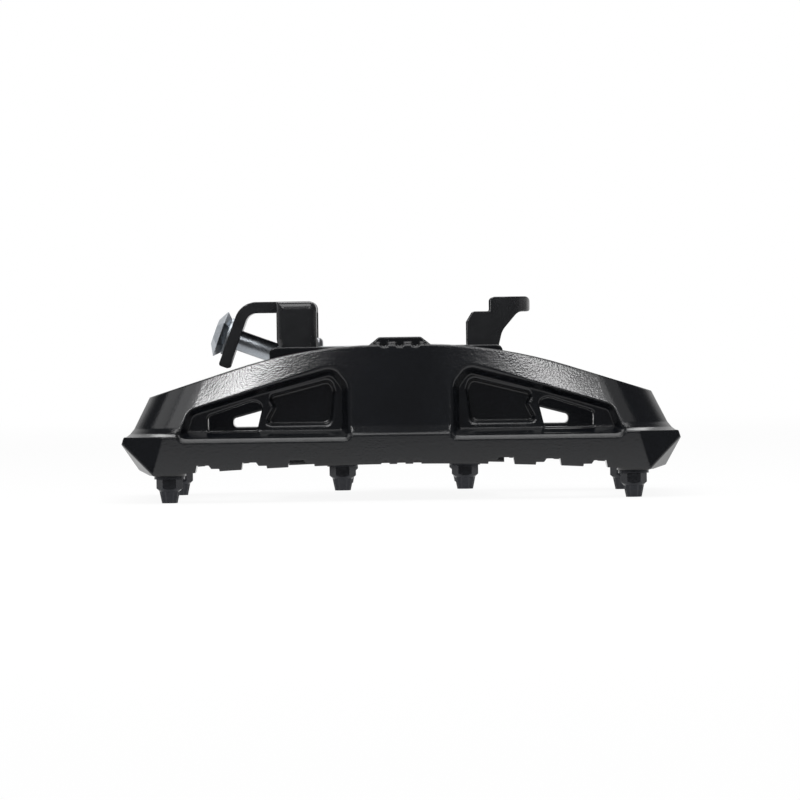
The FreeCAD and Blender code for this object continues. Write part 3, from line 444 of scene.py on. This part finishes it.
# %% Floor and backdrop
def seen_share(tree, share):
    """The given share for camera, glossy and transmission rays, and 0 for diffuse light."""
    path = add_node(tree, "ShaderNodeLightPath")
    seen = add_node(tree, "ShaderNodeMath", {
        0: path.outputs["Is Camera Ray"], 1: path.outputs["Is Glossy Ray"]}, operation="MAXIMUM")
    seen = add_node(tree, "ShaderNodeMath", {
        0: seen.outputs[0], 1: path.outputs["Is Transmission Ray"]}, operation="MAXIMUM")
    return add_node(tree, "ShaderNodeMath", {0: seen.outputs[0], 1: share}, operation="MULTIPLY").outputs[0]


# Close to the pedal this share of the paper glows, and the rest takes the shadow. Far out all of it glows.
NEAR_GLOW = 0.92
SHADOW_REACH = (0.10, 1.5)
# In reflections the paper ends here, in metres in front of the crank, and the dim room begins.
PAPER_END = (-0.26, -0.13)
ROOM_LEVEL = 0.10


def white_paper(name):
    material, tree = new_material(name)
    place = add_node(tree, "ShaderNodeTexCoord").outputs["Object"]
    away = add_node(tree, "ShaderNodeVectorMath", {0: place}, operation="LENGTH")
    glow = add_node(tree, "ShaderNodeMapRange", {
        "Value": away.outputs["Value"], "From Min": SHADOW_REACH[0], "From Max": SHADOW_REACH[1],
        "To Min": NEAR_GLOW, "To Max": 1.0}, interpolation_type="SMOOTHSTEP")
    share = seen_share(tree, glow.outputs["Result"])
    paper = add_node(tree, "ShaderNodeBsdfDiffuse", {"Color": colour("#fafafa")})
    light = add_node(tree, "ShaderNodeEmission", {"Color": colour("#ffffff"), "Strength": 1.0})
    sheet = add_node(tree, "ShaderNodeMixShader", {0: share, 1: paper.outputs[0], 2: light.outputs[0]})
    ahead = add_node(tree, "ShaderNodeSeparateXYZ", {0: place})
    past_end = add_node(tree, "ShaderNodeMapRange", {
        "Value": ahead.outputs["Y"], "From Min": PAPER_END[0], "From Max": PAPER_END[1],
        "To Min": 1.0, "To Max": 0.0}, interpolation_type="SMOOTHSTEP")
    reflected = add_node(tree, "ShaderNodeLightPath").outputs["Is Glossy Ray"]
    dim_share = add_node(tree, "ShaderNodeMath", {
        0: past_end.outputs["Result"], 1: reflected}, operation="MULTIPLY")
    dim = add_node(tree, "ShaderNodeEmission", {"Color": colour("#ffffff"), "Strength": ROOM_LEVEL})
    ground = add_node(tree, "ShaderNodeMixShader", {
        0: dim_share.outputs[0], 1: sheet.outputs[0], 2: dim.outputs[0]})
    add_node(tree, "ShaderNodeOutputMaterial", {"Surface": ground.outputs[0]})
    return material


def stage_plane(name, corners, material):
    mesh = bpy.data.meshes.new(name)
    mesh.from_pydata(corners, [], [(0, 1, 2, 3)])
    plane = bpy.data.objects.new(name, mesh)
    bpy.context.scene.collection.objects.link(plane)
    mesh.materials.append(material)


FLOOR_REACH = 4.0
floor_z = cad_box[0][2]
signs = ((-1, -1), (1, -1), (1, 1), (-1, 1))
stage_plane("floor", [(x * FLOOR_REACH, y * FLOOR_REACH, floor_z) for x, y in signs],
            white_paper("white_paper_floor"))
print("floor at", round(floor_z / MM, 2), "mm")

# %% World
# Seen directly the world is white. In reflections it is white behind the pedal and a dim room in front.
# The backdrop fades in between these two shares of straight back.
BACKDROP_START = 0.40
BACKDROP_FULL = 0.85
world = bpy.data.worlds.new("studio")
bpy.context.scene.world = world
world.use_nodes = True
tree = world.node_tree
tree.nodes.clear()
towards = add_node(tree, "ShaderNodeTexCoord").outputs["Generated"]
direction = add_node(tree, "ShaderNodeSeparateXYZ", {0: towards})
behind = add_node(tree, "ShaderNodeMapRange", {
    "Value": direction.outputs["Y"], "From Min": BACKDROP_START, "From Max": BACKDROP_FULL},
    interpolation_type="SMOOTHSTEP")
camera_ray = add_node(tree, "ShaderNodeLightPath").outputs["Is Camera Ray"]
shown = add_node(tree, "ShaderNodeMath", {0: camera_ray, 1: behind.outputs["Result"]}, operation="MAXIMUM")
share = seen_share(tree, shown.outputs[0])
room = add_node(tree, "ShaderNodeBackground", {"Color": colour("#ffffff"), "Strength": ROOM_LEVEL})
white = add_node(tree, "ShaderNodeBackground", {"Color": colour("#ffffff"), "Strength": 1.0})
ground = add_node(tree, "ShaderNodeMixShader", {0: share, 1: room.outputs[0], 2: white.outputs[0]})
add_node(tree, "ShaderNodeOutputWorld", {"Surface": ground.outputs[0]})
print("world:", world.name)

# %% Lamps
# A soft box on each side in front throws the bright bands on the sloping walls. It is brightest in the
# middle, so it is made of a small strong lamp and a large weak one. Weaker boxes further round carry the
# bands over the corners, a large one hangs over the pedal, and one high behind it draws the upper edges.
# A low one behind on the left shows in the bolt's head.
def soft_lamp(name, place, aim, width, height, watts):
    """Rectangular area lamp at a place, turned to shine at the aim."""
    light = bpy.data.lights.new(name, "AREA")
    light.shape = "RECTANGLE"
    light.size = width
    light.size_y = height
    light.energy = watts
    lamp = bpy.data.objects.new(name, light)
    lamp.location = place
    lamp.rotation_euler = (Vector(aim) - Vector(place)).to_track_quat("-Z", "Y").to_euler()
    bpy.context.scene.collection.objects.link(lamp)


centre = Vector([(low + high) / 2 for low, high in zip(*cad_box)])


def place_from(azimuth, elevation, distance):
    """Point at a distance from the pedal; azimuth 0 is the camera's side, positive to the right."""
    turn = math.radians(azimuth)
    rise = math.radians(elevation)
    level = math.cos(rise)
    return centre + distance * Vector((math.sin(turn) * level, -math.cos(turn) * level, math.sin(rise)))


# Name, azimuth and elevation in degrees, distance, width and height in metres, and power in watts.
LAMPS = (
    ("lamp_above", 0.0, 68.0, 0.9, 0.80, 0.60, 5.5),
    ("lamp_behind", 180.0, 55.0, 1.0, 0.80, 0.30, 3.0),
    ("box_left_middle", -16.5, 29.3, 1.08, 0.12, 0.13, 1.55),
    ("box_left", -19.5, 31.0, 1.1, 0.34, 0.34, 0.8),
    ("box_right_middle", 15.3, 28.0, 1.08, 0.11, 0.12, 0.75),
    ("box_right", 19.5, 31.0, 1.1, 0.34, 0.34, 0.8),
    ("side_left", -44.0, 38.0, 1.1, 0.50, 0.36, 1.0),
    ("far_left", -79.0, 38.0, 1.1, 0.48, 0.30, 0.52),
    ("low_left", -124.0, 14.0, 1.1, 0.40, 0.22, 0.45),
    ("side_right", 44.0, 38.0, 1.1, 0.50, 0.36, 0.3),
)
for name, azimuth, elevation, distance, width, height, watts in LAMPS:
    soft_lamp(name, place_from(azimuth, elevation, distance), centre, width, height, watts)
print("lamps:", [row[0] for row in LAMPS])

# %% [markdown]
# ## Camera
# The picture was taken with a long lens from well outside the pedal's outboard end, a little above the
# axle and almost level. The lens and the distance follow from how much smaller the far pins look than the
# near ones. The camera is turned by a fraction of a degree, as in the picture.

# %% Camera
SENSOR_MM = 36.0
NEAR_FACE_MM = -104.0
DISTANCE_MM = 1573.0
PIXELS_PER_MM = 5.23
FRAME_PIXELS = 800
CAMERA_HEIGHT_MM = 13.65
AIM_MM = (-0.1, NEAR_FACE_MM, 0.58)
ROLL_DEGREES = 0.8
camera_data = bpy.data.cameras.new("camera")
camera_data.sensor_width = SENSOR_MM
camera_data.lens = PIXELS_PER_MM * SENSOR_MM / FRAME_PIXELS * DISTANCE_MM
camera_data.clip_end = 20.0
camera = bpy.data.objects.new("camera", camera_data)
bpy.context.scene.collection.objects.link(camera)
camera.location = Vector((AIM_MM[0], NEAR_FACE_MM - DISTANCE_MM, CAMERA_HEIGHT_MM)) * MM
look = (Vector(AIM_MM) * MM - camera.location).to_track_quat("-Z", "Y")
camera.rotation_mode = "QUATERNION"
camera.rotation_quaternion = look @ Quaternion((0, 0, 1), math.radians(-ROLL_DEGREES))
bpy.context.scene.camera = camera
bpy.context.scene.view_settings.view_transform = "Standard"
print("lens:", round(camera_data.lens, 1), "mm")
